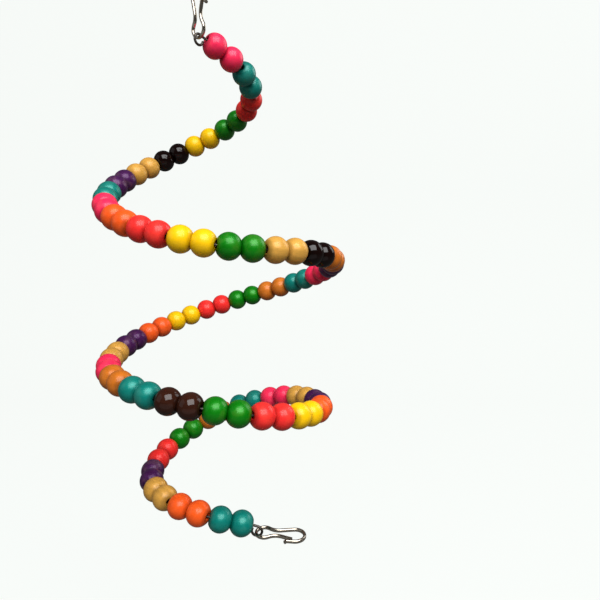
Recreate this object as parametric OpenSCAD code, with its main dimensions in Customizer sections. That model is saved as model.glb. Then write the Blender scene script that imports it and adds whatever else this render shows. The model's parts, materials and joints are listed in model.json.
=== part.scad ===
// Spring bird ladder: a hanging coil of wire threaded with pairs of dyed wooden beads,
// with a spring snap hook at each end. Millimetres, Z up, seen from the front along +Y.
// The origin is the inside of the top hook's bend, where it sits on the bar that carries it.

/* [View] */
// Sub-part to draw, or all of them

/* [Beads] */
// Widest diameter of a bead
bead_d = 12; // [8:0.1:14]
// Length of a bead over its flat end faces
bead_len = 9.6; // [7:0.1:11]
// Diameter of a bead's end face, mouth of the hole included
bead_face = 5; // [4:0.1:6]
// Hole through a bead
bead_bore = 3.4; // [3:0.1:4.4]
// Width of the bevel at each mouth of the hole
bead_bevel = 0.3; // [0:0.05:0.6]
// Gap between the two beads of a pair
pair_gap = 0.06; // [0.02:0.01:0.5]
// Clearance between one pair and the next on the inside of the coil's bend
next_gap = 0.3; // [0.25:0.05:3]

/* [Wire] */
// Diameter of the core wire
wire_d = 1.2; // [0.9:0.1:1.4]
// Clear width inside the ring at each end of the wire
ring_bore = 3.6; // [3.5:0.1:3.8]
// Plain wire between a ring and the nearest bead
neck_len = 3.2; // [3.1:0.1:8]
// Saw cut between two lengths of the wire
wire_cut = 0.3; // [0.2:0.05:0.5]

/* [Coil] */
// Compass angle in which the wire leaves its first bead, 0 to the right and 90 to the back
start_heading = 27; // [0:1:60]
// Bend radius at the four quarter points of the first turn
turn_1_bend = [28, 28, 38, 63]; // [28:1:80]
// Bend radius at the four quarter points of the second turn
turn_2_bend = [54, 56, 57, 66]; // [28:1:80]
// Bend radius at the four quarter points of the third turn
turn_3_bend = [47, 50, 41, 43]; // [28:1:80]
// Bend radius after the third turn
last_bend = 38; // [28:1:80]
// Downward slope at the four quarter points of the first turn
turn_1_drop = [28, 25, 26, 15]; // [-5:1:35]
// Downward slope at the four quarter points of the second turn
turn_2_drop = [5, 21, 15, -2]; // [-5:1:35]
// Downward slope at the four quarter points of the third turn
turn_3_drop = [15, 11, 23, -5]; // [-5:1:35]
// Downward slope after the third turn
last_drop = 22; // [0:1:35]
// Compass angle of the ring at the top end of the wire
top_ring_heading = 50; // [45:1:80]
// Compass angle of the ring at the bottom end of the wire
bottom_ring_heading = -6; // [-12:1:10]

/* [Snap hooks] */
// Length of a hook over its ends
hook_len = 24; // [23:0.5:32]
// Thickness of the hook's strip in the plane of the hook
strip_t = 1.4; // [1:0.1:1.6]
// Width of the hook's strip across the plane of the hook
strip_w = 1.8; // [1.7:0.1:2.4]
// Outside width of the hook's eye
eye_width = 9; // [8.5:0.1:11]
// Angle at which the eye's sides run together towards the waist
eye_close = 33; // [29:1:35]
// Bend radius of the waist
waist_r = 7; // [6:0.1:8]
// Outward slope of the long leg
leg_rise = 12; // [9:0.5:14]
// Bend radius of the hooked end
bend_r = 4.4; // [4.2:0.1:5]
// Straight of the turned-back tip
tip_run = 3; // [2:0.1:4]
// Length of gate that lies behind the turned-back tip
gate_lap = 1.8; // [0.8:0.1:2]
// Slit at the root of the gate
gate_slit = 0.4; // [0.3:0.05:0.6]
// Clearance between parts that rest on each other
rest_gap = 0.15; // [0.1:0.05:0.3]
// Clearance between a hook's eye and the ring of the wire
link_gap = 0.3; // [0.2:0.05:0.5]

/* [Hidden] */
$fn = 64;

// Colour of every pair of beads from the top of the ladder to the bottom
pair_colours = [
    "pink", "teal", "red", "green", "yellow", "black",
    "natural", "purple", "teal", "pink", "orange", "red",
    "yellow", "green", "natural", "black", "caramel", "purple",
    "pink", "teal", "caramel", "green", "red", "yellow",
    "orange", "purple", "natural", "pink", "caramel", "teal",
    "brown", "green", "red", "yellow", "orange", "purple",
    "natural", "pink", "teal", "caramel", "green", "red",
    "purple", "natural", "orange", "teal"];
pairs = len(pair_colours);

// Pairs threaded on each length of the wire, and the number of lengths
pairs_per_length = 6;
wire_lengths = ceil(pairs / pairs_per_length);

function two_digits(n) = str(n < 10 ? "0" : "", n);
function pair_name(k) = str("bead_pair_", two_digits(k + 1), "_", pair_colours[k]);
function wire_name(k) = str("wire_length_", k + 1);

// Dye of a bead by name
function dye(name) =
    name == "pink" ? [0.86, 0.14, 0.36] :
    name == "teal" ? [0.00, 0.47, 0.42] :
    name == "red" ? [0.85, 0.15, 0.14] :
    name == "green" ? [0.04, 0.48, 0.06] :
    name == "yellow" ? [0.95, 0.77, 0.06] :
    name == "black" ? [0.10, 0.06, 0.04] :
    name == "natural" ? [0.84, 0.68, 0.38] :
    name == "purple" ? [0.25, 0.12, 0.31] :
    name == "orange" ? [0.96, 0.42, 0.12] :
    name == "brown" ? [0.17, 0.09, 0.06] :
    [0.77, 0.42, 0.12];

function unit(v) = v / norm(v);
function mix(a, b, f) = a * (1 - f) + b * f;
// Direction of a compass angle and a downward slope
function towards(heading, drop) =
    [cos(drop) * cos(heading), cos(drop) * sin(heading), -sin(drop)];

// Snap hook: u runs from the eye's end to the hooked end, v across
strip_r = strip_t / 2;
eye_r = (eye_width - strip_t) / 2;
eye_u = eye_width / 2;
// Where the eye's round part ends on the gate's side
eye_end = [eye_u + eye_r * sin(eye_close), -eye_r * cos(eye_close)];
// Middle of the waist's bend on the long leg's side
waist_u = eye_end[0] + waist_r * sin(eye_close);
waist_v = -eye_end[1] + waist_r * cos(eye_close);
// Long leg from the waist to the hooked end
bend_u = hook_len - strip_r - bend_r;
leg_u = waist_u + waist_r * sin(leg_rise);
leg_v = waist_v - waist_r * cos(leg_rise);
leg_len = (bend_u - bend_r * sin(leg_rise) - leg_u) / cos(leg_rise);
bend_v = leg_v + leg_len * sin(leg_rise) - bend_r * cos(leg_rise);
// Gate: it starts past the slit and ends behind the turned-back tip
gate_root = eye_end + gate_slit * [cos(eye_close), sin(eye_close)];
gate_end = [bend_u - tip_run + gate_lap, bend_v - bend_r + strip_t + rest_gap];
// Its bend at the waist is the long leg's, or tighter where a short gate leaves less room
gate_side = [sin(eye_close), -cos(eye_close)];
gate_span = gate_end - gate_root;
gate_bend_share = 0.9;
gate_bend_most = gate_bend_share * (gate_span * gate_span) / (2 * (gate_span * gate_side));
gate_bend_r = min(waist_r, gate_bend_most);
gate_mid = gate_root + gate_bend_r * gate_side;
gate_reach = norm(gate_end - gate_mid);
gate_fall = atan2(gate_end[0] - gate_mid[0], gate_end[1] - gate_mid[1]) - acos(gate_bend_r / gate_reach);
gate_len = sqrt(gate_reach * gate_reach - gate_bend_r * gate_bend_r);

// Ring of the wire and the hooks' places
wire_r = wire_d / 2;
ring_r = ring_bore / 2 + wire_r;
// Part of the ring left open beside the neck
ring_open = acos(1 - (wire_d + 0.5) / ring_r);
ring_turn = 360 - ring_open;
top_hook_z = strip_t - hook_len;
top_ring = [0, 0, top_hook_z + strip_t + link_gap + wire_r - ring_r];
function in_ring(heading, a) = ring_r * [cos(a) * cos(heading), cos(a) * sin(heading), sin(a)];

// Bend radius and slope by angle turned, from the values at the quarter turns
bends = concat(turn_1_bend, turn_2_bend, turn_3_bend, [last_bend]);
drops = concat(turn_1_drop, turn_2_drop, turn_3_drop, [last_drop]);
function at_turn(values, turn) = lookup(turn, [for (q = [0 : len(values) - 1]) [90 * q, values[q]]]);

// A bead's side is one arc from face to face; its middle lies side_c from the bead's axis
bead_half = bead_len / 2;
face_r = bead_face / 2;
side_c = (pow(bead_d / 2, 2) - pow(face_r, 2) - pow(bead_half, 2)) / (bead_d - bead_face);
side_r = bead_d / 2 - side_c;
// Distance between the two beads of a pair
bead_step = bead_len + pair_gap;
// A pair's axis is a chord of the wire, this many steps long to each side of its middle
chord = 1.4;
// Lean of a pair against the plane midway to the next, and how far a leaning bead then reaches
face_lean = atan2(face_r - side_c, bead_half);
function lean(turn) =
    (bead_step + next_gap) * pow(cos(at_turn(drops, turn)), 2) / at_turn(bends, turn) * 180 / PI;
function reach(a) =
    a > face_lean ? side_c * sin(a) + side_r : face_r * sin(a) + bead_half * cos(a);
// Length of wire from one pair to the next, longer where the coil bends more
function arc_over_chord(a) = 1 + (1 / 6 + chord * chord / 8) * pow(a * PI / 180, 2);
function pair_pitch(turn) = let (a = lean(turn))
    (2 * reach(a) + next_gap + bead_step * cos(a)) * arc_over_chord(a);

// Plain wire at the top: from the ring round to the first bead
neck_steps = 5;
ring_steps = 22;
top_drop = drops[0];
top_leave = 90 - top_drop;
top_ring_points = [for (i = [0 : ring_steps])
    top_ring + in_ring(top_ring_heading, top_leave + ring_turn * (1 - i / ring_steps))];
function neck(p, h0, h1, drop) = [for (i = 0, q = p; i <= neck_steps;
    q = q + neck_len / neck_steps * towards(mix(h0, h1, (i + 0.5) / neck_steps), drop), i = i + 1) q];
top_neck = neck(top_ring_points[ring_steps], top_ring_heading, start_heading, top_drop);
first_bead = top_neck[neck_steps] + bead_half * towards(start_heading, top_drop);

// The coil, walked in quarters of a pair's pitch; each state is a place and the angle turned
function step_len(turn) = pair_pitch(turn) / 4;
function turned(turn) =
    step_len(turn) * cos(at_turn(drops, turn)) / at_turn(bends, turn) * 180 / PI;
function walk_on(state, mid, whole) = [
    state[0] + step_len(mid) * towards(start_heading + state[1] + whole / 2, at_turn(drops, mid)),
    state[1] + whole];
function advance(state) = let (mid = state[1] + turned(state[1]) / 2)
    walk_on(state, mid, turned(mid));
walk_steps = 4 * pairs - 2;
walk = [for (i = 0, s = [first_bead, 0]; i <= walk_steps; s = advance(s), i = i + 1) s];
coil = [for (s = walk) s[0]];

// Plain wire at the bottom: from the last bead to the ring and round it
end_turn = walk[walk_steps][1];
end_heading = (start_heading + end_turn) - 360 * round((start_heading + end_turn) / 360);
end_drop = at_turn(drops, end_turn);
end_leave = coil[walk_steps] + bead_half * towards(end_heading, end_drop);
bottom_neck = neck(end_leave, end_heading, bottom_ring_heading, end_drop);
bottom_leave = 90 - end_drop;
bottom_ring = bottom_neck[neck_steps] - in_ring(bottom_ring_heading, bottom_leave);
bottom_ring_points = [for (i = [0 : ring_steps])
    bottom_ring + in_ring(bottom_ring_heading, bottom_leave - ring_turn * i / ring_steps)];
// The bottom hook lies flat, the end of its eye resting low in the ring
bottom_rest = 240;
bottom_strip = bottom_ring
    + (ring_r - wire_r - link_gap - strip_w / 2) / ring_r * in_ring(bottom_ring_heading, bottom_rest);
bottom_hook_at = bottom_strip - strip_r * [cos(bottom_ring_heading), sin(bottom_ring_heading), 0];

// Whole middle line of the wire, and the place in it of the coil's first point
head = concat(
    [for (i = [0 : ring_steps - 1]) top_ring_points[i]],
    [for (i = [0 : neck_steps]) top_neck[i]]);
tail = concat(
    [for (i = [0 : neck_steps]) bottom_neck[i]],
    [for (i = [1 : ring_steps]) bottom_ring_points[i]]);
line = concat(head, coil, tail);
coil_from = len(head);
line_last = len(line) - 1;

// Least gap of the wire to itself, measured between points that are not neighbours along it
ring_gap = min([for (i = [0 : line_last]) for (j = [i + 1 : 1 : line_last])
    if (j - i > 7) norm(line[i] - line[j])]) - wire_d;
echo(str("least gap of the wire to itself ", ring_gap, " mm"));
echo(str("first bead ", first_bead, " last bead ", coil[walk_steps], " turned ", end_turn));

// A point of the coil by number of steps, running on straight past both ends
function along(x) =
    x <= 0 ? coil[0] + x * step_len(0) * towards(start_heading, top_drop) :
    x >= walk_steps ?
        coil[walk_steps] + (x - walk_steps) * step_len(end_turn) * towards(end_heading, end_drop) :
    mix(coil[floor(x)], coil[floor(x) + 1], x - floor(x));
// Axis of a pair of beads: the chord of the wire that both hang on
function pair_from(k) = along(4 * k + 1 - chord);
function pair_to(k) = along(4 * k + 1 + chord);
function pair_middle(k) = (pair_from(k) + pair_to(k)) / 2;
function pair_axis(k) = unit(pair_to(k) - pair_from(k));

// Half section of a bead: flat faces, a round side, a hole with bevelled mouths
mouth_r = bead_bore / 2 + bead_bevel;
mouth_z = mouth_r <= face_r ? bead_half : sqrt(side_r * side_r - pow(mouth_r - side_c, 2));
module bead_section() {
    difference() {
        intersection() {
            translate([side_c, 0])
                circle(r = side_r);
            translate([0, -bead_half])
                square([bead_d, bead_len]);
        }
        translate([-bead_d, -bead_len])
            square([bead_d + bead_bore / 2, 2 * bead_len]);
        translate([bead_bore / 2, mouth_z - bead_bevel])
            polygon([[-1, -1], [2, 2], [-1, 2]]);
        translate([bead_bore / 2, bead_bevel - mouth_z])
            polygon([[-1, 1], [-1, -2], [2, -2]]);
    }
}

module bead() {
    rotate_extrude()
        bead_section();
}

// Two beads of one colour on their common axis
module bead_pair(k) {
    d = pair_axis(k);
    color(dye(pair_colours[k]))
        translate(pair_middle(k))
            rotate([0, acos(d[2]), atan2(d[1], d[0])]) {
                translate([0, 0, -bead_step / 2])
                    bead();
                translate([0, 0, bead_step / 2])
                    bead();
            }
}

// Round wire along a list of points, with square-cut ends
sides = 8;
function point_tangent(points, i) =
    unit(points[min(i + 1, len(points) - 1)] - points[max(i - 1, 0)]);
function across(n, t) = unit(n - (n * t) * t);
function side_normals(points) = [for (i = 0, n = across([0.31, 0.17, 0.93], point_tangent(points, 0));
    i < len(points);
    i = i + 1, n = across(n, point_tangent(points, i))) n];
module round_wire(points) {
    normals = side_normals(points);
    last = len(points) - 1;
    corners = [for (i = [0 : last]) for (s = [0 : sides - 1])
        let (n = normals[i], b = cross(point_tangent(points, i), n))
        points[i] + wire_r * (cos(360 * s / sides) * n + sin(360 * s / sides) * b)];
    walls = [for (i = [0 : last - 1]) for (s = [0 : sides - 1]) for (half = [0, 1])
        let (a = i * sides + s, b = i * sides + (s + 1) % sides)
        half == 0 ? [a, a + sides, b] : [b, a + sides, b + sides]];
    start_cap = [for (s = [1 : sides - 2]) [0, s, s + 1]];
    end_cap = [for (s = [1 : sides - 2]) [last * sides, last * sides + s + 1, last * sides + s]];
    polyhedron(points = corners, faces = concat(walls, start_cap, end_cap), convexity = 6);
}

// First and last point of a length of wire; the cuts lie midway between two pairs
function cut_point(k) = coil_from + 4 * pairs_per_length * k - 1;
function length_from(k) = k == 0 ? 0 : cut_point(k);
function length_to_point(k) = k == wire_lengths - 1 ? line_last : cut_point(k + 1);
module wire_length(k) {
    a = length_from(k);
    b = length_to_point(k);
    raw = [for (i = [a : b]) line[i]];
    n = len(raw) - 1;
    trim_a = k == 0 ? 0 : wire_cut / 2;
    trim_b = k == wire_lengths - 1 ? 0 : wire_cut / 2;
    points = [for (i = [0 : n])
        i == 0 ? raw[0] + trim_a * unit(raw[1] - raw[0]) :
        i == n ? raw[n] - trim_b * unit(raw[n] - raw[n - 1]) : raw[i]];
    color([0.72, 0.72, 0.70])
        round_wire(points);
}

// Strip of the hooks: a flat wire with round edges, drawn along X; children go on from its end
module strip_section(more = 0) {
    square([strip_t + more, strip_w - strip_t], center = true);
    translate([0, (strip_w - strip_t) / 2])
        circle(d = strip_t + more);
    translate([0, -(strip_w - strip_t) / 2])
        circle(d = strip_t + more);
}

// Short sleeve, a hair thicker than the strip, that joins two stretches into one solid
module seam() {
    translate([-0.12, 0, 0])
        rotate([90, 0, 90])
            linear_extrude(height = 0.24)
                strip_section(0.03);
}

module run(length) {
    rotate([90, 0, 90])
        linear_extrude(height = length)
            strip_section();
    translate([length, 0, 0]) {
        if ($children > 0) seam();
        children();
    }
}

module turn_left(radius, angle) {
    translate([0, radius, 0])
        rotate([0, 0, -90])
            rotate_extrude(angle = angle)
                translate([radius, 0])
                    strip_section();
    translate([radius * sin(angle), radius * (1 - cos(angle)), 0])
        rotate([0, 0, angle]) {
            seam();
            children();
        }
}

module turn_right(radius, angle) {
    translate([0, -radius, 0])
        rotate([0, 0, 90 - angle])
            rotate_extrude(angle = angle)
                translate([radius, 0])
                    strip_section();
    translate([radius * sin(angle), -radius * (1 - cos(angle)), 0])
        rotate([0, 0, -angle]) {
            seam();
            children();
        }
}

// Hook without its gate: eye, waist, long leg, hooked end and turned-back tip
module hook_frame() {
    color([0.78, 0.78, 0.76])
        translate([eye_end[0], eye_end[1], 0])
            rotate([0, 0, 180 + eye_close])
                turn_right(eye_r, 180 + 2 * eye_close)
                    turn_left(waist_r, eye_close + leg_rise)
                        run(leg_len)
                            turn_right(bend_r, 180 + leg_rise)
                                run(tip_run)
                                    turn_left(1.1, 55)
                                        run(0.5);
}

// Springy leg that shuts the hook
module hook_gate() {
    color([0.74, 0.74, 0.72])
        translate([gate_root[0], gate_root[1], 0])
            rotate([0, 0, eye_close])
                turn_right(gate_bend_r, eye_close + gate_fall)
                    run(gate_len);
}

// The top hook stands upright, square to its ring, with its gate to the right; the bottom one lies flat
module at_top() {
    translate([0, 0, top_hook_z])
        rotate([0, 0, top_ring_heading - 90])
            rotate([90, -90, 0])
                children();
}

module at_bottom() {
    translate(bottom_hook_at)
        rotate([0, 0, bottom_ring_heading])
            children();
}

module top_hook() {
    at_top()
        hook_frame();
}

module top_gate() {
    at_top()
        hook_gate();
}

module bottom_hook() {
    at_bottom()
        hook_frame();
}

module bottom_gate() {
    at_bottom()
        hook_gate();
}

top_hook();
top_gate();
for (k = [0 : wire_lengths - 1]) wire_length(k);
for (k = [0 : pairs - 1]) bead_pair(k);
bottom_hook();
bottom_gate();
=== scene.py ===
# %% [markdown]
# # A spring bird ladder
# The toy is one long springy wire, bent into a loose coil and threaded with pairs of dyed wooden
# beads. A small snap hook hangs in a ring at each end of the wire. The solid model of the toy is
# loaded first and never moved: the beads, the wire and the hooks made here ride on its bodies, so
# that the beads still turn on the wire and the coil still stretches.

# %% Load the solid model
import json
import math

import bpy
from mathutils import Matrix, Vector


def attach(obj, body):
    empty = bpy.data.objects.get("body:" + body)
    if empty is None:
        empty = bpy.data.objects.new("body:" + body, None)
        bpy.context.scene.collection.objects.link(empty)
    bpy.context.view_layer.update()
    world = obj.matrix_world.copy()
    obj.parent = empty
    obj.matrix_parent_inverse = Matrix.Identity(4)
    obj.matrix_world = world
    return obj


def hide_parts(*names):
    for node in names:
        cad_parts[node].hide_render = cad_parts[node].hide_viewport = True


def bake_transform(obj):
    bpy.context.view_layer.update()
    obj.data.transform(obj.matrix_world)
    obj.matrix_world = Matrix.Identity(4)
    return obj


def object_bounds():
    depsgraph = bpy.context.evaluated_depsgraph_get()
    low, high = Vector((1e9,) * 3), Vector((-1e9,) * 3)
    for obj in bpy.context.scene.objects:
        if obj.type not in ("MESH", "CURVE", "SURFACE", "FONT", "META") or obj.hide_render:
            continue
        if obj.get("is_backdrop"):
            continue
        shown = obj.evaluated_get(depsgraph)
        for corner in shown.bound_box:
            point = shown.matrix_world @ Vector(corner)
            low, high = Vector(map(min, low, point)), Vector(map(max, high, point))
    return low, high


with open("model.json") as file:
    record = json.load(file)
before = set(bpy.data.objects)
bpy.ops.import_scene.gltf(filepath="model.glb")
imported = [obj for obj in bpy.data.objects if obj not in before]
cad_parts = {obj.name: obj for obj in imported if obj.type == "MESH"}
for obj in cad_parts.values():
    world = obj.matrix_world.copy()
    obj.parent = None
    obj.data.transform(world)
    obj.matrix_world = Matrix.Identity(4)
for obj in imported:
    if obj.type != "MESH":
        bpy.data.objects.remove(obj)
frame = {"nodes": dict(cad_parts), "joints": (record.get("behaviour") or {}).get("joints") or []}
cad_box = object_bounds()
joints = {j["name"]: j for j in frame["joints"]}
MM = 0.001
scene = bpy.context.scene
scene.view_settings.view_transform = "Standard"

# %% [markdown]
# ## Camera
# The picture was taken from close by, so near beads look larger than far ones. A camera that is
# only a hand's length too far away would flatten the coil. Its place, tilt and focal length were
# found by measuring where the beads fall in the picture and how large they look there.

# %% Camera
CAMERA_PLACE = (47.05, -264.3, -95.0)
CAMERA_TILT_DOWN = 10.96
FOCAL_LENGTH = 31.69
SENSOR_WIDTH = 36
NEAREST_SEEN = 0.01

camera = bpy.data.objects.new("camera", bpy.data.cameras.new("camera"))
camera.data.sensor_width = SENSOR_WIDTH
camera.data.lens = FOCAL_LENGTH
camera.data.clip_start = NEAREST_SEEN
camera.location = [c * MM for c in CAMERA_PLACE]
camera.rotation_euler = (math.radians(90 - CAMERA_TILT_DOWN), 0, 0)
scene.collection.objects.link(camera)
scene.camera = camera
print("camera at", CAMERA_PLACE, "mm, focal length", FOCAL_LENGTH, "mm")

# %% [markdown]
# ## Node helpers
# Finishes, light and most shapes below are built from nodes. Short helpers save typing: one adds a
# node with its settings, one joins sockets and one does a sum. Anything that several finishes share
# goes into a node group with named sockets, so that it is built once and placed with other values
# in each material.


# %% Node helpers
def add_node(tree, kind, settings=None, **values):
    """A node of one kind, with settings as its properties and values for its named inputs."""
    node = tree.nodes.new(kind)
    for key, value in (settings or {}).items():
        setattr(node, key, value)
    for key, value in values.items():
        node.inputs[key.replace("_", " ")].default_value = value
    return node


def join(tree, *pairs):
    """Links from each source socket to its target."""
    for source, target in pairs:
        tree.links.new(source, target)


def sums(tree, operation, *parts):
    """A Math node on sockets or numbers."""
    node = add_node(tree, "ShaderNodeMath", {"operation": operation})
    for slot, value in enumerate(parts):
        if isinstance(value, (int, float)):
            node.inputs[slot].default_value = value
        else:
            join(tree, (value, node.inputs[slot]))
    return node.outputs[0]


def new_group(name, kind, inputs, outputs):
    """An empty node group with its named sockets, and its two end nodes."""
    group = bpy.data.node_groups.new(name, kind)
    for label, socket, start in inputs:
        item = group.interface.new_socket(name=label, in_out="INPUT", socket_type=socket)
        if start is not None:
            item.default_value = start
    for label, socket in outputs:
        group.interface.new_socket(name=label, in_out="OUTPUT", socket_type=socket)
    return group, group.nodes.new("NodeGroupInput"), group.nodes.new("NodeGroupOutput")


# %% [markdown]
# ## Floor and backdrop
# A hanging toy is photographed in front of a pale sweep: a sheet that lies on the floor and curves
# up behind, so that no edge shows. One strip of quads with a rounded fold makes it. To keep it pale
# without flooding the toy with light, the sheet also glows where the camera looks at it, and more
# weakly in reflections, so that dark lacquer stays dark. The Light Path node tells what kind of ray
# is looking. One helper sets this up, because the even light round the scene needs it too.

# %% Sweep
SWEEP_HEIGHT = -0.42
FOLD_RADIUS = 0.35
FOLD_STEPS = 12
PAPER = (0.06, 0.06, 0.0585, 1)
PALE = (0.968, 1.0, 0.974, 1)


def make_sweep(front, fold, top, drop, half_width):
    """A sheet that lies at height drop, runs back from front, and curves up to top at fold."""
    outline = [(front, drop)]
    for step in range(FOLD_STEPS + 1):
        angle = math.radians(90 * step / FOLD_STEPS)
        back = fold - FOLD_RADIUS + FOLD_RADIUS * math.sin(angle)
        outline.append((back, drop + FOLD_RADIUS - FOLD_RADIUS * math.cos(angle)))
    outline.append((fold, top))
    corners = [(x, y, z) for y, z in outline for x in (-half_width, half_width)]
    quads = [(2 * i, 2 * i + 1, 2 * i + 3, 2 * i + 2) for i in range(len(outline) - 1)]
    mesh = bpy.data.meshes.new("sweep")
    mesh.from_pydata(corners, [], quads)
    mesh.shade_smooth()
    return bpy.data.objects.new("sweep", mesh)


def seen_strength(tree, always, by_camera, in_mirrors):
    """A socket with the strength of a glow: always, more for camera rays, more for glossy rays."""
    path = add_node(tree, "ShaderNodeLightPath")
    total = always
    for kind, amount in (("Is Camera Ray", by_camera), ("Is Glossy Ray", in_mirrors)):
        total = sums(tree, "MULTIPLY_ADD", path.outputs[kind], amount, total)
    return total


def pale_paper():
    """Matt paper that glows towards the camera, and a little in reflections."""
    material = bpy.data.materials.new("pale_paper")
    material.use_nodes = True
    tree = material.node_tree
    tree.nodes.clear()
    out = add_node(tree, "ShaderNodeOutputMaterial")
    both = add_node(tree, "ShaderNodeAddShader")
    paper = add_node(tree, "ShaderNodeBsdfDiffuse", Color=PAPER)
    glow = add_node(tree, "ShaderNodeEmission", Color=PALE)
    join(
        tree,
        (seen_strength(tree, always=0.03, by_camera=0.89, in_mirrors=0.06), glow.inputs["Strength"]),
        (paper.outputs[0], both.inputs[0]),
        (glow.outputs[0], both.inputs[1]),
        (both.outputs[0], out.inputs["Surface"]),
    )
    return material


sweep = make_sweep(front=-3.0, fold=0.9, top=2.2, drop=SWEEP_HEIGHT, half_width=6.0)
sweep.data.materials.append(pale_paper())
scene.collection.objects.link(sweep)
sweep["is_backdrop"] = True
print("sweep lies", round(cad_box[0].z - SWEEP_HEIGHT, 3), "m below the lowest piece")

# %% [markdown]
# ## Light
# Wooden beads under lacquer show one soft, squarish highlight high on the side towards the viewer.
# That comes from one large soft lamp above and in front. Weak lamps at the side and behind, a broad
# low lamp that stands for light thrown back by the pale floor, and a faint even light all round keep
# the shaded sides clear. Past the sheet's edges the camera sees that even light as pale as the sheet.

# %% Lamps and even light
TOY_MIDDLE = (0.0, 0.0, -0.14)
EVEN_LIGHT = 0.07


def soft_lamp(name, place, size, watts):
    """A rectangular lamp that faces the toy's middle; place and size are in metres."""
    data = bpy.data.lights.new(name, "AREA")
    data.shape = "RECTANGLE"
    data.size, data.size_y = size
    data.energy = watts
    lamp = bpy.data.objects.new(name, data)
    lamp.location = place
    lamp.rotation_euler = (Vector(TOY_MIDDLE) - Vector(place)).to_track_quat("-Z", "Y").to_euler()
    scene.collection.objects.link(lamp)


soft_lamp("window", (0.26, -0.62, 0.74), (1.10, 0.90), 23.0)
soft_lamp("side", (-1.3, -0.35, 0.50), (1.2, 1.2), 1.8)
soft_lamp("floor_bounce", (0.0, -0.35, -0.41), (1.0, 0.6), 0.4)
soft_lamp("back", (1.0, 0.65, 0.40), (0.7, 0.7), 4.0)

world = bpy.data.worlds.new("even_light")
world.use_nodes = True
surround = world.node_tree.nodes["Background"]
surround.inputs["Color"].default_value = PALE
strength = seen_strength(world.node_tree, always=EVEN_LIGHT, by_camera=0.88, in_mirrors=0.0)
join(world.node_tree, (strength, surround.inputs["Strength"]))
scene.world = world
print("four soft lamps and an even light of strength", EVEN_LIGHT)

# %% [markdown]
# ## Grain of a turned bead
# The beads are turned from straight-grained rods, so the grain runs along the hole. Year rings show
# as broad soft bands and fibres as fine streaks. The ends of each bead are darker: partly the dye
# soaking deeper into the end grain round the mouths of the hole, partly painted shade where
# neighbouring beads meet. The pattern is read from an attribute that each bead carries, its own place
# from its own middle in millimetres, so the grain follows the bead however it lies on the wire.

# %% Grain group
SHIFT_PER_BEAD = (37.0, 53.0, 0.0)

grain, grain_in, grain_out = new_group(
    "turned_grain",
    "ShaderNodeTree",
    [
        ("Dye", "NodeSocketColor", (0.8, 0.1, 0.1, 1)),
        ("Band Strength", "NodeSocketFloat", 0.2),
        ("Fibre Strength", "NodeSocketFloat", 0.25),
        ("Blotch Strength", "NodeSocketFloat", 0.2),
        ("End Darkening", "NodeSocketFloat", 0.35),
        ("Thin Dye", "NodeSocketFloat", 0.0),
        ("Gloss Level", "NodeSocketFloat", 0.3),
    ],
    [("Color", "NodeSocketColor"), ("Roughness", "NodeSocketFloat"), ("Height", "NodeSocketFloat")],
)
place = add_node(grain, "ShaderNodeAttribute", {"attribute_name": "grain_place"})
number = add_node(grain, "ShaderNodeAttribute", {"attribute_name": "bead_number"})
shift = add_node(grain, "ShaderNodeVectorMath", {"operation": "ADD"})
bands_map = add_node(grain, "ShaderNodeMapping", Scale=(1, 1, 0.10))
fibre_map = add_node(grain, "ShaderNodeMapping", Scale=(1, 1, 0.07))
bands = add_node(grain, "ShaderNodeTexWave", {"wave_type": "BANDS", "bands_direction": "DIAGONAL"},
                 Scale=0.16, Distortion=3.5, Detail=2.0, Detail_Scale=0.8)
fibres = add_node(grain, "ShaderNodeTexNoise", Scale=2.6, Detail=4.0, Roughness=0.65)
blotches = add_node(grain, "ShaderNodeTexNoise", Scale=0.22, Detail=2.0, Roughness=0.5)
offset = add_node(grain, "ShaderNodeVectorMath", {"operation": "SCALE"})
offset.inputs[0].default_value = SHIFT_PER_BEAD
join(
    grain,
    (number.outputs["Fac"], offset.inputs["Scale"]),
    (place.outputs["Vector"], shift.inputs[0]),
    (offset.outputs[0], shift.inputs[1]),
    (shift.outputs[0], bands_map.inputs["Vector"]),
    (shift.outputs[0], fibre_map.inputs["Vector"]),
    (bands_map.outputs[0], bands.inputs["Vector"]),
    (fibre_map.outputs[0], fibres.inputs["Vector"]),
    (shift.outputs[0], blotches.inputs["Vector"]),
)

# %% Grain group, colours and relief
BARE_WOOD = (0.78, 0.52, 0.20, 1)
FIBRE_ROUGHNESS = 0.12


def mix_in(tree, blend, colour, other, mask, strength):
    """Colour blended with another where the mask, times its strength, is one."""
    mix = add_node(tree, "ShaderNodeMix", {"data_type": "RGBA", "blend_type": blend})
    share, first, second, result = mix.inputs[0], mix.inputs[6], mix.inputs[7], mix.outputs[2]
    second.default_value = other
    join(tree, (sums(tree, "MULTIPLY", mask, strength), share), (colour, first))
    return result


def shade(tree, colour, mask, strength, dark):
    """Colour multiplied by the grey dark where the mask, times its strength, is one."""
    return mix_in(tree, "MULTIPLY", colour, (dark, dark, dark, 1), mask, strength)


def mask_of(tree, source, low, high):
    """A smooth mask that goes from 0 at low to 1 at high, which may be the smaller of the two."""
    ramp = add_node(tree, "ShaderNodeMapRange", {"interpolation_type": "SMOOTHSTEP"})
    ramp.inputs["From Min"].default_value = low
    ramp.inputs["From Max"].default_value = high
    join(tree, (source, ramp.inputs["Value"]))
    return ramp.outputs[0]


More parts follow.
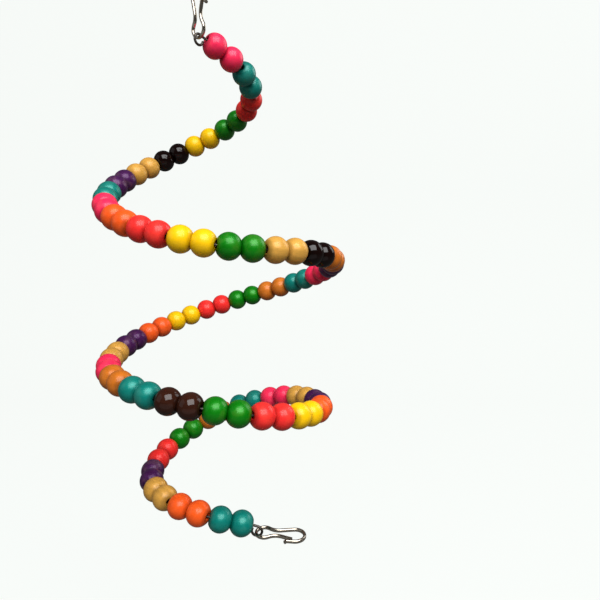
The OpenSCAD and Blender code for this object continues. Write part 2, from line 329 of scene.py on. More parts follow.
fibre_mask = mask_of(grain, fibres.outputs["Fac"], low=0.42, high=0.68)
blotch_mask = mask_of(grain, blotches.outputs["Fac"], low=0.35, high=0.70)
thin_mask = mask_of(grain, blotches.outputs["Fac"], low=0.55, high=0.30)
apart = add_node(grain, "ShaderNodeSeparateXYZ")
join(grain, (place.outputs["Vector"], apart.inputs[0]))
# Darker bead ends: partly end grain taking more dye, partly painted shade where neighbouring beads
# meet.
end_grain_and_shade_mask = mask_of(grain, sums(grain, "ABSOLUTE", apart.outputs["Z"]), low=3.6, high=4.8)
thin_dye = grain_in.outputs["Thin Dye"]
colour = mix_in(grain, "MIX", grain_in.outputs["Dye"], BARE_WOOD, thin_mask, thin_dye)
for strength, mask, dark in (
    ("Band Strength", bands.outputs["Fac"], 0.45),
    ("Fibre Strength", fibre_mask, 0.40),
    ("Blotch Strength", blotch_mask, 0.55),
    ("End Darkening", end_grain_and_shade_mask, 0.30),
):
    colour = shade(grain, colour, mask, grain_in.outputs[strength], dark)
rough = sums(grain, "MULTIPLY_ADD", fibre_mask, FIBRE_ROUGHNESS, grain_in.outputs["Gloss Level"])
join(
    grain,
    (colour, grain_out.inputs["Color"]),
    (rough, grain_out.inputs["Roughness"]),
    (fibres.outputs["Fac"], grain_out.inputs["Height"]),
)
print("grain group:", len(grain.nodes), "nodes")

# %% [markdown]
# ## Dyed and lacquered wood
# Every colour of bead has the same make-up: dyed wood below, a clear lacquer above. The lacquer is
# the coat of the Principled shader. The dye and the strength of the grain change: pale wood shows
# its grain plainly, a dark stain hides it under more and smoother lacquer, and the purple dye takes
# unevenly. Under the clear coat the dye itself has a broad sheen, in a tint of its own colour and
# weak on deep dyes.

# %% Bead finishes
# Each dye has its colour, the strengths of bands, fibres and blotches, and how thin it lies.
DYES = {
    "pink": ((1.00, 0.024, 0.100), 0.10, 0.20, 0.20, 0.04),
    "teal": ((0.000, 0.182, 0.148), 0.10, 0.20, 0.25, 0.02),
    "red": ((0.93, 0.027, 0.024), 0.10, 0.18, 0.20, 0.03),
    "green": ((0.000, 0.175, 0.001), 0.12, 0.20, 0.22, 0.03),
    "yellow": ((1.00, 0.58, 0.001), 0.06, 0.12, 0.12, 0.00),
    "black": ((0.006, 0.0015, 0.001), 0.10, 0.20, 0.20, 0.00),
    "natural": ((0.71, 0.365, 0.062), 0.20, 0.30, 0.22, 0.00),
    "purple": ((0.058, 0.009, 0.074), 0.30, 0.55, 0.30, 0.06),
    "orange": ((0.98, 0.108, 0.010), 0.10, 0.18, 0.20, 0.04),
    "brown": ((0.036, 0.010, 0.005), 0.25, 0.35, 0.25, 0.00),
    "caramel": ((0.62, 0.165, 0.012), 0.16, 0.26, 0.22, 0.05),
}
DARK_LACQUER = ("black", "brown")
SHEEN_WHITE = 0.15
SHEEN_MOST = 0.8
SHEEN_PER_DYE = 4.5
# A coat has a weight and a roughness, a relief a strength and a depth in metres.
DARK_COAT = (0.6, 0.09)
CLEAR_COAT = (0.30, 0.22)
# How much darker the bead ends are: partly end grain taking more dye, partly painted shade between
# beads.
END_DARKENING = 0.55
GLOSS_LEVEL = 0.40
WOOD_RELIEF = (0.25, 0.0001)


def finish_from(group_tree, name, relief, **values):
    """A material and its shader, fed by a group; relief is the strength and depth of its bump."""
    material = bpy.data.materials.new(name)
    material.use_nodes = True
    tree = material.node_tree
    shader = tree.nodes["Principled BSDF"]
    group = add_node(tree, "ShaderNodeGroup", {"node_tree": group_tree}, **values)
    bump = add_node(tree, "ShaderNodeBump", Strength=relief[0], Distance=relief[1])
    join(
        tree,
        (group.outputs["Color"], shader.inputs["Base Color"]),
        (group.outputs["Roughness"], shader.inputs["Roughness"]),
        (group.outputs["Height"], bump.inputs["Height"]),
        (bump.outputs[0], shader.inputs["Normal"]),
    )
    return material, shader


def dyed_wood(name, dye, band, fibre, blotch, thin):
    """Wood in one dye under clear lacquer; the numbers are the strengths of its grain."""
    material, shader = finish_from(
        grain, "dyed_wood_" + name, WOOD_RELIEF, Dye=(*dye, 1), Band_Strength=band,
        Fibre_Strength=fibre, Blotch_Strength=blotch, End_Darkening=END_DARKENING,
        Thin_Dye=thin, Gloss_Level=GLOSS_LEVEL)
    dark = name in DARK_LACQUER
    weight, roughness = DARK_COAT if dark else CLEAR_COAT
    shader.inputs["Coat Weight"].default_value = weight
    shader.inputs["Coat Roughness"].default_value = roughness
    sheen = 0.0 if dark else min(SHEEN_MOST, SHEEN_PER_DYE * max(dye))
    shader.inputs["Specular IOR Level"].default_value = sheen
    tint = [SHEEN_WHITE + (1 - SHEEN_WHITE) * part / max(dye) for part in dye]
    shader.inputs["Specular Tint"].default_value = (*tint, 1)
    return material


bead_finish = {name: dyed_wood(name, *values) for name, values in DYES.items()}
print("bead finishes:", ", ".join(bead_finish))

# %% [markdown]
# ## Plated steel
# The hooks are bent from bright plated strip and the core is drawn steel wire. Neither is a
# perfect mirror: handling leaves dull smears, plating has fine specks, and drawing leaves it a
# little rough. The core wire's metal colour is made very dark as painted shade, for the shadow in
# the bores and in the slots between beads. One group gives smears, specks and a faint unevenness
# from Object coordinates.

# %% Steel group
steel, steel_in, steel_out = new_group(
    "plated_steel",
    "ShaderNodeTree",
    [
        ("Metal", "NodeSocketColor", (0.7, 0.7, 0.68, 1)),
        ("Polish", "NodeSocketFloat", 0.2),
        ("Smear Strength", "NodeSocketFloat", 0.2),
        ("Speck Strength", "NodeSocketFloat", 0.3),
    ],
    [("Color", "NodeSocketColor"), ("Roughness", "NodeSocketFloat"), ("Height", "NodeSocketFloat")],
)
where = add_node(steel, "ShaderNodeTexCoord")
smears = add_node(steel, "ShaderNodeTexNoise", Scale=320.0, Detail=3.0, Roughness=0.6)
specks = add_node(steel, "ShaderNodeTexNoise", Scale=2600.0, Detail=2.0, Roughness=0.5)
waves = add_node(steel, "ShaderNodeTexNoise", Scale=900.0, Detail=1.0, Roughness=0.5)
for texture in (smears, specks, waves):
    join(steel, (where.outputs["Object"], texture.inputs["Vector"]))
smear_mask = mask_of(steel, smears.outputs["Fac"], low=0.45, high=0.70)
speck_mask = mask_of(steel, specks.outputs["Fac"], low=0.62, high=0.72)
smear_strength, speck_strength = steel_in.outputs["Smear Strength"], steel_in.outputs["Speck Strength"]
colour = shade(steel, steel_in.outputs["Metal"], speck_mask, speck_strength, dark=0.25)
colour = shade(steel, colour, smear_mask, smear_strength, dark=0.70)
dull = sums(steel, "MULTIPLY_ADD", smear_mask, smear_strength, steel_in.outputs["Polish"])
join(
    steel,
    (colour, steel_out.inputs["Color"]),
    (dull, steel_out.inputs["Roughness"]),
    (waves.outputs["Fac"], steel_out.inputs["Height"]),
)

# %% Steel finishes
STEEL_RELIEF = (0.12, 0.00005)


def bright_steel(name, metal, polish, smear, speck):
    """Bare metal with its smears and specks; polish is the roughness of its clean parts."""
    material, shader = finish_from(steel, name, STEEL_RELIEF, Metal=(*metal, 1), Polish=polish,
                                   Smear_Strength=smear, Speck_Strength=speck)
    shader.inputs["Metallic"].default_value = 1.0
    return material


hook_steel = bright_steel("plated_strip", (0.52, 0.465, 0.385), polish=0.15, smear=0.16, speck=0.35)
# The core wire's very dark metal colour is painted shade, for the shadow in the bores and the slots
# between beads.
wire_steel_painted_dark = bright_steel("drawn_wire", (0.09, 0.08, 0.07), polish=0.45, smear=0.20, speck=0.45)
print("steel group:", len(steel.nodes), "nodes")

# %% [markdown]
# ## Turning a bead
# A real bead is turned on a lathe: one outline, spun round an axis. Geometry Nodes do the same.
# The outline is a closed line of points in millimetres: one arc for the side, a flat face at each
# end, a rounded lip at each mouth and the straight hole. The solid beads keep a hair of room to
# their neighbours; the real ones touch, so the outline is a little longer than the solid's, and
# fuller at its ends. The tree lays a grid, takes each row's place from one point of the outline
# and turns it by the column's angle. Two such beads, each with its own number, size and turn, are
# set on the pair's axis and moved to their place on the wire.

# %% Outline of a bead
BEAD_D = 12.0
BEAD_LENGTH = 9.6
BEAD_FACE = 5.0
BEAD_BORE = 3.4
BEAD_LIP = 0.4
PAIR_GAP = 0.06
PLUMP_LENGTH = 10.0
PLUMP_FACE = 5.9
SIDE_STEPS = 20
LIP_STEPS = 5
HOLE_STEPS = 6
BEAD_STEP = BEAD_LENGTH + PAIR_GAP


def side_arc(length, face):
    """Middle and radius of the arc from end face to end face, as wide as the bead at its widest."""
    middle = ((BEAD_D / 2) ** 2 - (face / 2) ** 2 - (length / 2) ** 2) / (BEAD_D - face)
    return middle, BEAD_D / 2 - middle


def bead_outline():
    """The closed outline of a bead as points (radius, height) in millimetres."""
    middle, radius = side_arc(PLUMP_LENGTH, PLUMP_FACE)
    half = PLUMP_LENGTH / 2
    edge = math.atan2(half, PLUMP_FACE / 2 - middle)
    upper = []
    for i in range(SIDE_STEPS + 1):
        angle = edge * i / SIDE_STEPS
        upper.append((middle + radius * math.cos(angle), radius * math.sin(angle)))
    for i in range(LIP_STEPS + 1):
        angle = math.radians(90 * i / LIP_STEPS)
        inward, down = 1 - math.sin(angle), 1 - math.cos(angle)
        upper.append((BEAD_BORE / 2 + BEAD_LIP * inward, half - BEAD_LIP * down))
    lower = [(r, -z) for r, z in reversed(upper[1:])]
    mouth = upper[-1][1]
    hole = [(BEAD_BORE / 2, mouth - 2 * mouth * i / HOLE_STEPS) for i in range(1, HOLE_STEPS)]
    return lower + upper + hole


outline = bead_outline()
section = bpy.data.curves.new("bead_outline", "CURVE")
section.dimensions = "3D"
spline = section.splines.new("POLY")
spline.points.add(len(outline) - 1)
for point, (r, z) in zip(spline.points, outline):
    point.co = (r * MM, 0, z * MM, 1)
print("bead outline:", len(outline), "points, widest", round(2 * max(r for r, z in outline), 2), "mm")

# %% [markdown]
# ## The bead tree
# Sockets at the front of the tree carry the sizes. The grid's rows are the points of the outline
# and its columns the steps round the axis. The seam is closed by merging, and the bead's own
# coordinates and number are stored for the grain before the pair is moved away from the middle.

# %% Tree of a bead pair
COLUMNS = 49
SMALLEST_SIZE = 0.99
SIZE_SEED = 500.0
NUMBER_SEED = 900.0
MOST_NUMBER = 50.0

pair_tree, pair_in, pair_out = new_group(
    "bead_pair",
    "GeometryNodeTree",
    [
        ("Outline", "NodeSocketGeometry", None),
        ("Rows", "NodeSocketInt", len(outline) + 1),
        ("Columns", "NodeSocketInt", COLUMNS),
        ("Step", "NodeSocketFloat", PLUMP_LENGTH * MM),
        ("Smallest", "NodeSocketFloat", SMALLEST_SIZE),
        ("Seed", "NodeSocketInt", 0),
        ("Place", "NodeSocketVector", None),
        ("Turn", "NodeSocketRotation", None),
        ("Finish", "NodeSocketMaterial", None),
    ],
    [("Beads", "NodeSocketGeometry")],
)
T = pair_tree
grid = add_node(T, "GeometryNodeMeshGrid", Size_X=1.0, Size_Y=1.0)
here = add_node(T, "GeometryNodeInputPosition")
split = add_node(T, "ShaderNodeSeparateXYZ")
join(
    T,
    (pair_in.outputs["Columns"], grid.inputs["Vertices X"]),
    (pair_in.outputs["Rows"], grid.inputs["Vertices Y"]),
    (here.outputs[0], split.inputs[0]),
)

last_row = sums(T, "SUBTRACT", pair_in.outputs["Rows"], 1.0)
row = sums(T, "ROUND", sums(T, "MULTIPLY", sums(T, "ADD", split.outputs["Y"], 0.5), last_row))
row = sums(T, "MODULO", row, last_row)
angle = sums(T, "MULTIPLY", sums(T, "ADD", split.outputs["X"], 0.5), 2 * math.pi)
on_points = {"data_type": "FLOAT_VECTOR", "domain": "POINT"}
read = add_node(T, "GeometryNodeSampleIndex", on_points)
spin = add_node(T, "ShaderNodeVectorRotate", {"rotation_type": "Z_AXIS"})
shape = add_node(T, "GeometryNodeSetPosition")
weld = add_node(T, "GeometryNodeMergeByDistance", Distance=1e-6)
smooth = add_node(T, "GeometryNodeSetShadeSmooth")
own = add_node(T, "GeometryNodeInputPosition")
in_mm = add_node(T, "ShaderNodeVectorMath", {"operation": "SCALE"}, Scale=1 / MM)
keep = add_node(T, "GeometryNodeStoreNamedAttribute", on_points, Name="grain_place")
join(
    T,
    (pair_in.outputs["Outline"], read.inputs["Geometry"]),
    (here.outputs[0], read.inputs["Value"]),
    (row, read.inputs["Index"]),
    (read.outputs[0], spin.inputs["Vector"]),
    (angle, spin.inputs["Angle"]),
    (grid.outputs["Mesh"], shape.inputs["Geometry"]),
    (spin.outputs[0], shape.inputs["Position"]),
    (shape.outputs[0], weld.inputs["Geometry"]),
    (weld.outputs[0], smooth.inputs["Geometry"]),
    (smooth.outputs[0], keep.inputs["Geometry"]),
    (own.outputs[0], in_mm.inputs[0]),
    (in_mm.outputs[0], keep.inputs["Value"]),
)


# %% Tree of a bead pair, the two beads
def random_up_to(tree, most):
    """A random number for each bead, from 0 or from what is linked to its input 2, up to most."""
    node = add_node(tree, "FunctionNodeRandomValue", {"data_type": "FLOAT"})
    node.inputs[2].default_value, node.inputs[3].default_value = 0.0, most
    return node


line = add_node(T, "GeometryNodeMeshLine", {"mode": "OFFSET"}, Count=2)
low_end = add_node(T, "ShaderNodeCombineXYZ")
span = add_node(T, "ShaderNodeCombineXYZ")
set_on = add_node(T, "GeometryNodeInstanceOnPoints")
turn_by = random_up_to(T, 2 * math.pi)
turn_vec = add_node(T, "ShaderNodeCombineXYZ")
size_by = random_up_to(T, 1.0)
number_by = random_up_to(T, MOST_NUMBER)
on_instances = {"data_type": "FLOAT", "domain": "INSTANCE"}
mark = add_node(T, "GeometryNodeStoreNamedAttribute", on_instances, Name="bead_number")
real = add_node(T, "GeometryNodeRealizeInstances")
move = add_node(T, "GeometryNodeTransform")
paint = add_node(T, "GeometryNodeSetMaterial")
size_seed = sums(T, "ADD", pair_in.outputs["Seed"], SIZE_SEED)
number_seed = sums(T, "ADD", pair_in.outputs["Seed"], NUMBER_SEED)
join(
    T,
    (sums(T, "MULTIPLY", pair_in.outputs["Step"], -0.5), low_end.inputs["Z"]),
    (pair_in.outputs["Step"], span.inputs["Z"]),
    (low_end.outputs[0], line.inputs["Start Location"]),
    (span.outputs[0], line.inputs["Offset"]),
    (line.outputs["Mesh"], set_on.inputs["Points"]),
    (keep.outputs[0], set_on.inputs["Instance"]),
    (pair_in.outputs["Seed"], turn_by.inputs["Seed"]),
    (turn_by.outputs[1], turn_vec.inputs["Z"]),
    (turn_vec.outputs[0], set_on.inputs["Rotation"]),
    (pair_in.outputs["Smallest"], size_by.inputs[2]),
    (size_seed, size_by.inputs["Seed"]),
    (size_by.outputs[1], set_on.inputs["Scale"]),
    (number_seed, number_by.inputs["Seed"]),
    (set_on.outputs[0], mark.inputs["Geometry"]),
    (number_by.outputs[1], mark.inputs["Value"]),
    (mark.outputs[0], real.inputs["Geometry"]),
    (real.outputs[0], move.inputs["Geometry"]),
    (pair_in.outputs["Place"], move.inputs["Translation"]),
    (pair_in.outputs["Turn"], move.inputs["Rotation"]),
    (move.outputs[0], paint.inputs["Geometry"]),
    (pair_in.outputs["Finish"], paint.inputs["Material"]),
    (paint.outputs[0], pair_out.inputs["Beads"]),
)
print("bead tree:", len(T.nodes), "nodes")

# %% [markdown]
# ## From tree to plain mesh
# A modifier's inputs are set by each socket's identifier. The evaluated result is then copied into
# a plain mesh, one for each body, because the other tools that read this model know nothing of trees.


# %% Baking a tree
def bake(name, source, tree, **values):
    """A plain mesh object, made by running tree on the source curve with the given inputs."""
    worker = bpy.data.objects.new("worker", source)
    scene.collection.objects.link(worker)
    modifier = worker.modifiers.new("tree", "NODES")
    modifier.node_group = tree
    for item in tree.interface.items_tree:
        key = item.name.replace(" ", "_")
        if item.in_out == "INPUT" and key in values:
            modifier[item.identifier] = values[key]
    worker.update_tag()
    evaluated = worker.evaluated_get(bpy.context.evaluated_depsgraph_get())
    mesh = bpy.data.meshes.new_from_object(evaluated)
    bpy.data.objects.remove(worker)
    mesh.name = name
    piece = bpy.data.objects.new(name, mesh)
    scene.collection.objects.link(piece)
    return piece


# %% Bead pairs
pair_nodes = sorted(n for n in frame["nodes"] if n.startswith("bead_pair_"))
triangles = 0
for count, node in enumerate(pair_nodes, 1):
    hinge = joints["pair_%02d_spin" % count]
    turn = Vector(hinge["axis"]).to_track_quat("Z", "Y").to_euler()
    dye = node.split("_")[-1]
    beads = bake("beads_%02d_%s" % (count, dye), section, pair_tree, Seed=count, Place=hinge["pos_m"],
                 Turn=tuple(turn), Finish=bead_finish[dye])
    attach(beads, hinge["child"])
    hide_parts(node)
    triangles += 2 * len(beads.data.polygons)
print(len(pair_nodes), "pairs of beads, about", triangles, "triangles")

# %% [markdown]
# ## The core wire
# The wire's middle line is walked in quarters of a pair's pitch. At each step the wire turns by
# its bend radius and goes down by its slope, both of which change from quarter turn to quarter turn,
# as on a coil that was bent by hand. Both ends curl into a ring. The line is cut into the eight
# lengths that the solid model has, so that each can turn against the next as the coil stretches.

# %% Walk of the wire
BENDS = [28, 28, 38, 63, 54, 56, 57, 66, 47, 50, 41, 43, 38]
DROPS = [28, 25, 26, 15, 5, 21, 15, -2, 15, 11, 23, -5, 22]
START_HEADING = 27
TOP_RING_HEADING = 50
BOTTOM_RING_HEADING = -6
WIRE_D = 1.2
RING_BORE = 3.6
NECK = 3.2
HOOK_LENGTH = 24
STRIP_T = 1.4
STRIP_W = 1.8
LINK_GAP = 0.3
NEXT_GAP = 0.3
# A pair's axis is a chord of the wire, this many steps long to each side of its middle.
CHORD = 1.4
STEPS_PER_PAIR = 4
PAIRS_PER_LENGTH = 6
RING_STEPS = 22
RING_OPEN = 0.5
RING_R = RING_BORE / 2 + WIRE_D / 2


def towards(heading, drop):
    """Direction at a heading round the vertical that goes down by the angle drop."""
    h, d = math.radians(heading), math.radians(drop)
    return Vector((math.cos(d) * math.cos(h), math.cos(d) * math.sin(h), -math.sin(d)))


def at_turn(values, turn):
    """Value after turning so far, from a list with one value for each quarter turn."""
    place = min(max(turn / 90, 0), len(values) - 1)
    low = min(int(place), len(values) - 2)
    return values[low] + (values[low + 1] - values[low]) * (place - low)


def level_part(turn):
    """Part of the wire's length that runs level, where the rest goes down."""
    return math.cos(math.radians(at_turn(DROPS, turn)))


def step_at(turn):
    """A quarter of the wire between two pairs: longer where the coil bends more and the beads lean."""
    lean = (BEAD_STEP + NEXT_GAP) * level_part(turn) ** 2 / at_turn(BENDS, turn)
    middle, radius = side_arc(BEAD_LENGTH, BEAD_FACE)
    reach = middle * math.sin(lean) + radius
    if lean < math.atan2(BEAD_FACE / 2 - middle, BEAD_LENGTH / 2):
        reach = BEAD_FACE / 2 * math.sin(lean) + BEAD_LENGTH / 2 * math.cos(lean)
    arc_over_chord = 1 + (1 / 6 + CHORD ** 2 / 8) * lean ** 2
    return (2 * reach + NEXT_GAP + BEAD_STEP * math.cos(lean)) * arc_over_chord / STEPS_PER_PAIR


def turned_by(turn):
    """Angle turned in one step, in degrees."""
    return math.degrees(step_at(turn) * level_part(turn) / at_turn(BENDS, turn))


def on_ring(middle, heading, angle):
    """Point at an angle on an end ring, which stands upright along a heading."""
    h, a = math.radians(heading), math.radians(angle)
    return middle + RING_R * Vector((math.cos(a) * math.cos(h), math.cos(a) * math.sin(h), math.sin(a)))


def neck_points(start, heading_from, heading_to, drop, steps=5):
    """Points of the short neck between ring and coil, which turns from one heading to the other."""
    points = [start]
    for i in range(steps):
        heading = heading_from + (heading_to - heading_from) * (i + 0.5) / steps
        points.append(points[-1] + NECK / steps * towards(heading, drop))
    return points


# %% Middle line of the wire
ring_turn = 360 - math.degrees(math.acos(1 - (WIRE_D + RING_OPEN) / RING_R))
top_ring = Vector((0, 0, STRIP_T - HOOK_LENGTH + STRIP_T + LINK_GAP + WIRE_D / 2 - RING_R))
leave = 90 - DROPS[0]
round_ring = [ring_turn * i / RING_STEPS for i in range(RING_STEPS + 1)]
head = [on_ring(top_ring, TOP_RING_HEADING, leave + ring_turn - angle) for angle in round_ring[:-1]]
neck_start = on_ring(top_ring, TOP_RING_HEADING, leave)
head += neck_points(neck_start, TOP_RING_HEADING, START_HEADING, DROPS[0])
coil = [head[-1] + BEAD_LENGTH / 2 * towards(START_HEADING, DROPS[0])]
turned = 0.0
for i in range(STEPS_PER_PAIR * len(pair_nodes) - 2):
    mid = turned + turned_by(turned) / 2
    heading = START_HEADING + turned + turned_by(mid) / 2
    coil.append(coil[-1] + step_at(mid) * towards(heading, at_turn(DROPS, mid)))
    turned += turned_by(mid)
last_heading = (START_HEADING + turned + 180) % 360 - 180
last_drop = at_turn(DROPS, turned)
neck_start = coil[-1] + BEAD_LENGTH / 2 * towards(last_heading, last_drop)
tail = neck_points(neck_start, last_heading, BOTTOM_RING_HEADING, last_drop)
leave = 90 - last_drop
bottom_ring = tail[-1] - on_ring(Vector(), BOTTOM_RING_HEADING, leave)
tail += [on_ring(bottom_ring, BOTTOM_RING_HEADING, leave - angle) for angle in round_ring[1:]]
wire_line = head + coil + tail
print("wire turns", round(turned), "degrees in", len(coil), "steps")

# %% [markdown]
# ## Sweeping the wire
# A curve through the points and a small circle swept along it give the tube. The cut end of each
# ring is slightly tapered: its last point is narrower, and one more point is set close before it.


# %% Tree of a swept wire
def sharp_where_bent(tree, mesh, degrees=40):
    """Smooth shading, with an edge left sharp where two faces meet at more than the angle."""
    edges = add_node(tree, "GeometryNodeInputMeshEdgeAngle")
    less = {"data_type": "FLOAT", "operation": "LESS_THAN"}
    flat_enough = add_node(tree, "FunctionNodeCompare", less)
    flat_enough.inputs[1].default_value = math.radians(degrees)
    shading = add_node(tree, "GeometryNodeSetShadeSmooth", {"domain": "EDGE"})
    join(tree, (edges.outputs[0], flat_enough.inputs[0]), (mesh, shading.inputs["Geometry"]),
         (flat_enough.outputs[0], shading.inputs["Shade Smooth"]))
    return shading.outputs[0]


wire_tree, wire_in, wire_out = new_group(
    "swept_wire",
    "GeometryNodeTree",
    [
        ("Path", "NodeSocketGeometry", None),
        ("Diameter", "NodeSocketFloat", WIRE_D * MM),
        ("Sides", "NodeSocketInt", 16),
        ("Fineness", "NodeSocketInt", 4),
        ("Finish", "NodeSocketMaterial", None),
    ],
    [("Wire", "NodeSocketGeometry")],
)
T = wire_tree
curved = add_node(T, "GeometryNodeCurveSplineType", {"spline_type": "CATMULL_ROM"})
finer = add_node(T, "GeometryNodeSetSplineResolution")
ring = add_node(T, "GeometryNodeCurvePrimitiveCircle", {"mode": "RADIUS"})
tube = add_node(T, "GeometryNodeCurveToMesh", Fill_Caps=True)
paint = add_node(T, "GeometryNodeSetMaterial")
join(
    T,
    (wire_in.outputs["Path"], curved.inputs[0]),
    (curved.outputs[0], finer.inputs["Geometry"]),
    (wire_in.outputs["Fineness"], finer.inputs["Resolution"]),
    (wire_in.outputs["Sides"], ring.inputs["Resolution"]),
    (sums(T, "MULTIPLY", wire_in.outputs["Diameter"], 0.5), ring.inputs["Radius"]),
    (finer.outputs[0], tube.inputs["Curve"]),
    (ring.outputs["Curve"], tube.inputs["Profile Curve"]),
    (sharp_where_bent(T, tube.outputs[0]), paint.inputs["Geometry"]),
    (wire_in.outputs["Finish"], paint.inputs["Material"]),
    (paint.outputs[0], wire_out.inputs["Wire"]),
)

# %% Wire lengths
CUT_SHARE = 0.25
CUT_WIDTH = 0.75


def path_curve(name, points, narrow=()):
    """A curve through points in millimetres; narrow gives the width there, by place in the list."""
    curve = bpy.data.curves.new(name, "CURVE")
    curve.dimensions = "3D"
    run = curve.splines.new("POLY")
    run.points.add(len(points) - 1)
    for i, place in enumerate(points):
        run.points[i].co = (*(Vector(place) * MM), 1)
        run.points[i].radius = 1.0
    for i, width in narrow:
        run.points[i].radius = width
    return curve


lengths = len([n for n in frame["nodes"] if n.startswith("wire_length_")])
cuts = [len(head) + STEPS_PER_PAIR * PAIRS_PER_LENGTH * k - 1 for k in range(1, lengths)]
ends = [0, *cuts, len(wire_line) - 1]
for k in range(lengths):
    stretch = wire_line[ends[k]:ends[k + 1] + 1]
    narrow = []
    if k == 0:
        stretch.insert(1, stretch[0].lerp(stretch[1], CUT_SHARE))
        narrow = [(0, CUT_WIDTH)]
    if k == lengths - 1:
        stretch.insert(-1, stretch[-1].lerp(stretch[-2], CUT_SHARE))
        narrow = [(-1, CUT_WIDTH)]
    path = path_curve("wire_path", stretch, narrow)
    wire = bake("wire_%d" % (k + 1), path, wire_tree, Finish=wire_steel_painted_dark)
    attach(wire, "wire_%d" % (k + 1))
    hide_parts("wire_length_%d" % (k + 1))
print(lengths, "lengths of wire")

# %% [markdown]
# ## Snap hooks
# Each hook is one strip of springy steel, bent on a machine: an eye, a waist, a long leg, a hooked
# end with a turned-back tip, and a free leg that springs shut behind that tip. A strip with rounded
# edges swept along a line of straight runs and bends makes it. The free leg is its own mesh.

# %% Bends of a hook
EYE_WIDTH = 9.0
EYE_CLOSE = 33
WAIST_R = 7.0
LEG_RISE = 12
BEND_R = 4.4
TIP_RUN = 3.0
GATE_LAP = 1.8
GATE_SLIT = 0.4
REST_GAP = 0.15
TIP_BEND = (1.1, 55)
TIP_END = 0.5
RUN_STEP = 0.8
BEND_STEP = 6


def bent_strip(start, heading, moves):
    """Points of a strip from start; a move is a run of some length or a bend (radius, angle)."""
    points, place, angle = [Vector((*start, 0))], Vector((*start, 0)), math.radians(heading)
    for move in moves:
        if isinstance(move, (int, float)):
            count = max(2, int(move / RUN_STEP))
            for i in range(count):
                place = place + move / count * Vector((math.cos(angle), math.sin(angle), 0))
                points.append(place)
            continue
        radius, bend = move
        count = max(3, int(abs(bend) / BEND_STEP))
        chord = 2 * radius * math.sin(math.radians(abs(bend)) / count / 2)
        for i in range(count):
            angle += math.radians(bend) / count / 2
            place = place + chord * Vector((math.cos(angle), math.sin(angle), 0))
            angle += math.radians(bend) / count / 2
            points.append(place)
    return points


sin_c, cos_c = math.sin(math.radians(EYE_CLOSE)), math.cos(math.radians(EYE_CLOSE))
sin_l, cos_l = math.sin(math.radians(LEG_RISE)), math.cos(math.radians(LEG_RISE))
eye_r = (EYE_WIDTH - STRIP_T) / 2
eye_end = Vector((EYE_WIDTH / 2 + eye_r * sin_c, -eye_r * cos_c))
bend_u = HOOK_LENGTH - STRIP_T / 2 - BEND_R
leg_u = eye_end.x + WAIST_R * (sin_c + sin_l)
leg_v = -eye_end.y + WAIST_R * (cos_c - cos_l)
leg = (bend_u - BEND_R * sin_l - leg_u) / cos_l
bend_v = leg_v + leg * sin_l - BEND_R * cos_l
hook_path = bent_strip(eye_end, 180 + EYE_CLOSE, [
    (eye_r, -180 - 2 * EYE_CLOSE), (WAIST_R, EYE_CLOSE + LEG_RISE), leg,
    (BEND_R, -180 - LEG_RISE), TIP_RUN, TIP_BEND, TIP_END])
gate_root = eye_end + GATE_SLIT * Vector((cos_c, sin_c))
gate_end = Vector((bend_u - TIP_RUN + GATE_LAP, bend_v - BEND_R + STRIP_T + REST_GAP))
gate_mid = gate_root + WAIST_R * Vector((sin_c, -cos_c))
reach = gate_end - gate_mid
fall = math.degrees(math.atan2(reach.x, reach.y) - math.acos(WAIST_R / reach.length))
gate_path = bent_strip(eye_end, EYE_CLOSE, [
    GATE_SLIT, (WAIST_R, -EYE_CLOSE - fall), math.sqrt(reach.length ** 2 - WAIST_R ** 2)])
print("hook line", len(hook_path), "points, gate line", len(gate_path), "points")

# %% Tree of a bent strip
EDGE_SHARE = 0.49

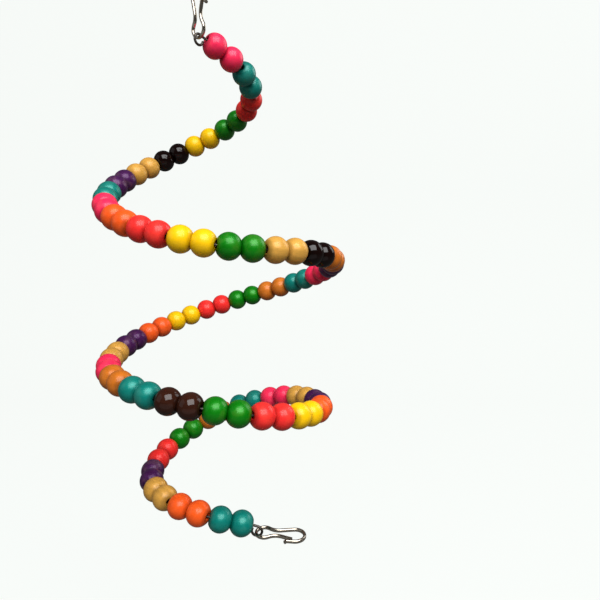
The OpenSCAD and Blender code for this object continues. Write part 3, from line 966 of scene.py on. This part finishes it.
strip_tree, strip_in, strip_out = new_group(
    "bent_strip",
    "GeometryNodeTree",
    [
        ("Path", "NodeSocketGeometry", None),
        ("Thickness", "NodeSocketFloat", STRIP_T * MM),
        ("Width", "NodeSocketFloat", STRIP_W * MM),
        ("Place", "NodeSocketVector", None),
        ("Turn", "NodeSocketRotation", None),
        ("Finish", "NodeSocketMaterial", None),
    ],
    [("Strip", "NodeSocketGeometry")],
)
T = strip_tree
flat = add_node(T, "GeometryNodeSetCurveNormal", {"mode": "Z_UP"})
block = add_node(T, "GeometryNodeCurvePrimitiveQuadrilateral", {"mode": "RECTANGLE"})
rounded = add_node(T, "GeometryNodeFilletCurve", {"mode": "POLY"}, Count=6)
sweep_on = add_node(T, "GeometryNodeCurveToMesh", Fill_Caps=True)
move = add_node(T, "GeometryNodeTransform")
paint = add_node(T, "GeometryNodeSetMaterial")
join(
    T,
    (strip_in.outputs["Path"], flat.inputs[0]),
    (strip_in.outputs["Thickness"], block.inputs["Width"]),
    (strip_in.outputs["Width"], block.inputs["Height"]),
    (block.outputs[0], rounded.inputs["Curve"]),
    (sums(T, "MULTIPLY", strip_in.outputs["Thickness"], EDGE_SHARE), rounded.inputs["Radius"]),
    (flat.outputs[0], sweep_on.inputs["Curve"]),
    (rounded.outputs[0], sweep_on.inputs["Profile Curve"]),
    (sharp_where_bent(T, sweep_on.outputs[0]), move.inputs["Geometry"]),
    (strip_in.outputs["Place"], move.inputs["Translation"]),
    (strip_in.outputs["Turn"], move.inputs["Rotation"]),
    (move.outputs[0], paint.inputs["Geometry"]),
    (strip_in.outputs["Finish"], paint.inputs["Material"]),
    (paint.outputs[0], strip_out.inputs["Strip"]),
)

# %% Hooks and gates
BOTTOM_REST = 240
TIP_WIDTH = 0.8

lowest = on_ring(Vector(), BOTTOM_RING_HEADING, BOTTOM_REST).normalized()
bottom_strip = bottom_ring + (RING_BORE / 2 - LINK_GAP - STRIP_W / 2) * lowest
bottom_way = towards(BOTTOM_RING_HEADING, 0)
top_turn = (math.radians(90), math.radians(-90), math.radians(TOP_RING_HEADING - 90))
bottom_turn = (0, 0, math.radians(BOTTOM_RING_HEADING))
hook_places = {
    "top": (Vector((0, 0, STRIP_T - HOOK_LENGTH)), top_turn, Vector((0, 0, 1))),
    "bottom": (bottom_strip - STRIP_T / 2 * bottom_way, bottom_turn, bottom_way),
}
for end, (place_mm, turn, along) in hook_places.items():
    values = dict(Place=tuple(place_mm * MM), Turn=turn, Finish=hook_steel)
    path = path_curve("hook_path", hook_path, [(-1, TIP_WIDTH)])
    hook = bake(end + "_hook_strip", path, strip_tree, **values)
    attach(hook, end + "_snap_hook")
    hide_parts(end + "_hook")
    path = path_curve("gate_path", gate_path, [(-1, TIP_WIDTH)])
    gate = bake(end + "_gate_strip", path, strip_tree, **values)
    hinge = Vector(joints[end + "_gate_hinge"]["pos_m"])
    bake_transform(gate)
    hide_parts(end + "_gate")
print("hooks at", [[round(c, 1) for c in place_mm] for place_mm, _, _ in hook_places.values()])

# %% [markdown]
# The dressed toy has to fill the same box as the solid model. Both boxes are measured, and the
# last line prints how much each side of the box grew, in millimetres.

# %% Boxes and finish
new_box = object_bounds()
grown = [round((n - c) / MM, 2) for a, b in zip(cad_box, new_box) for c, n in zip(a, b)]
print("box grew by", grown, "mm")
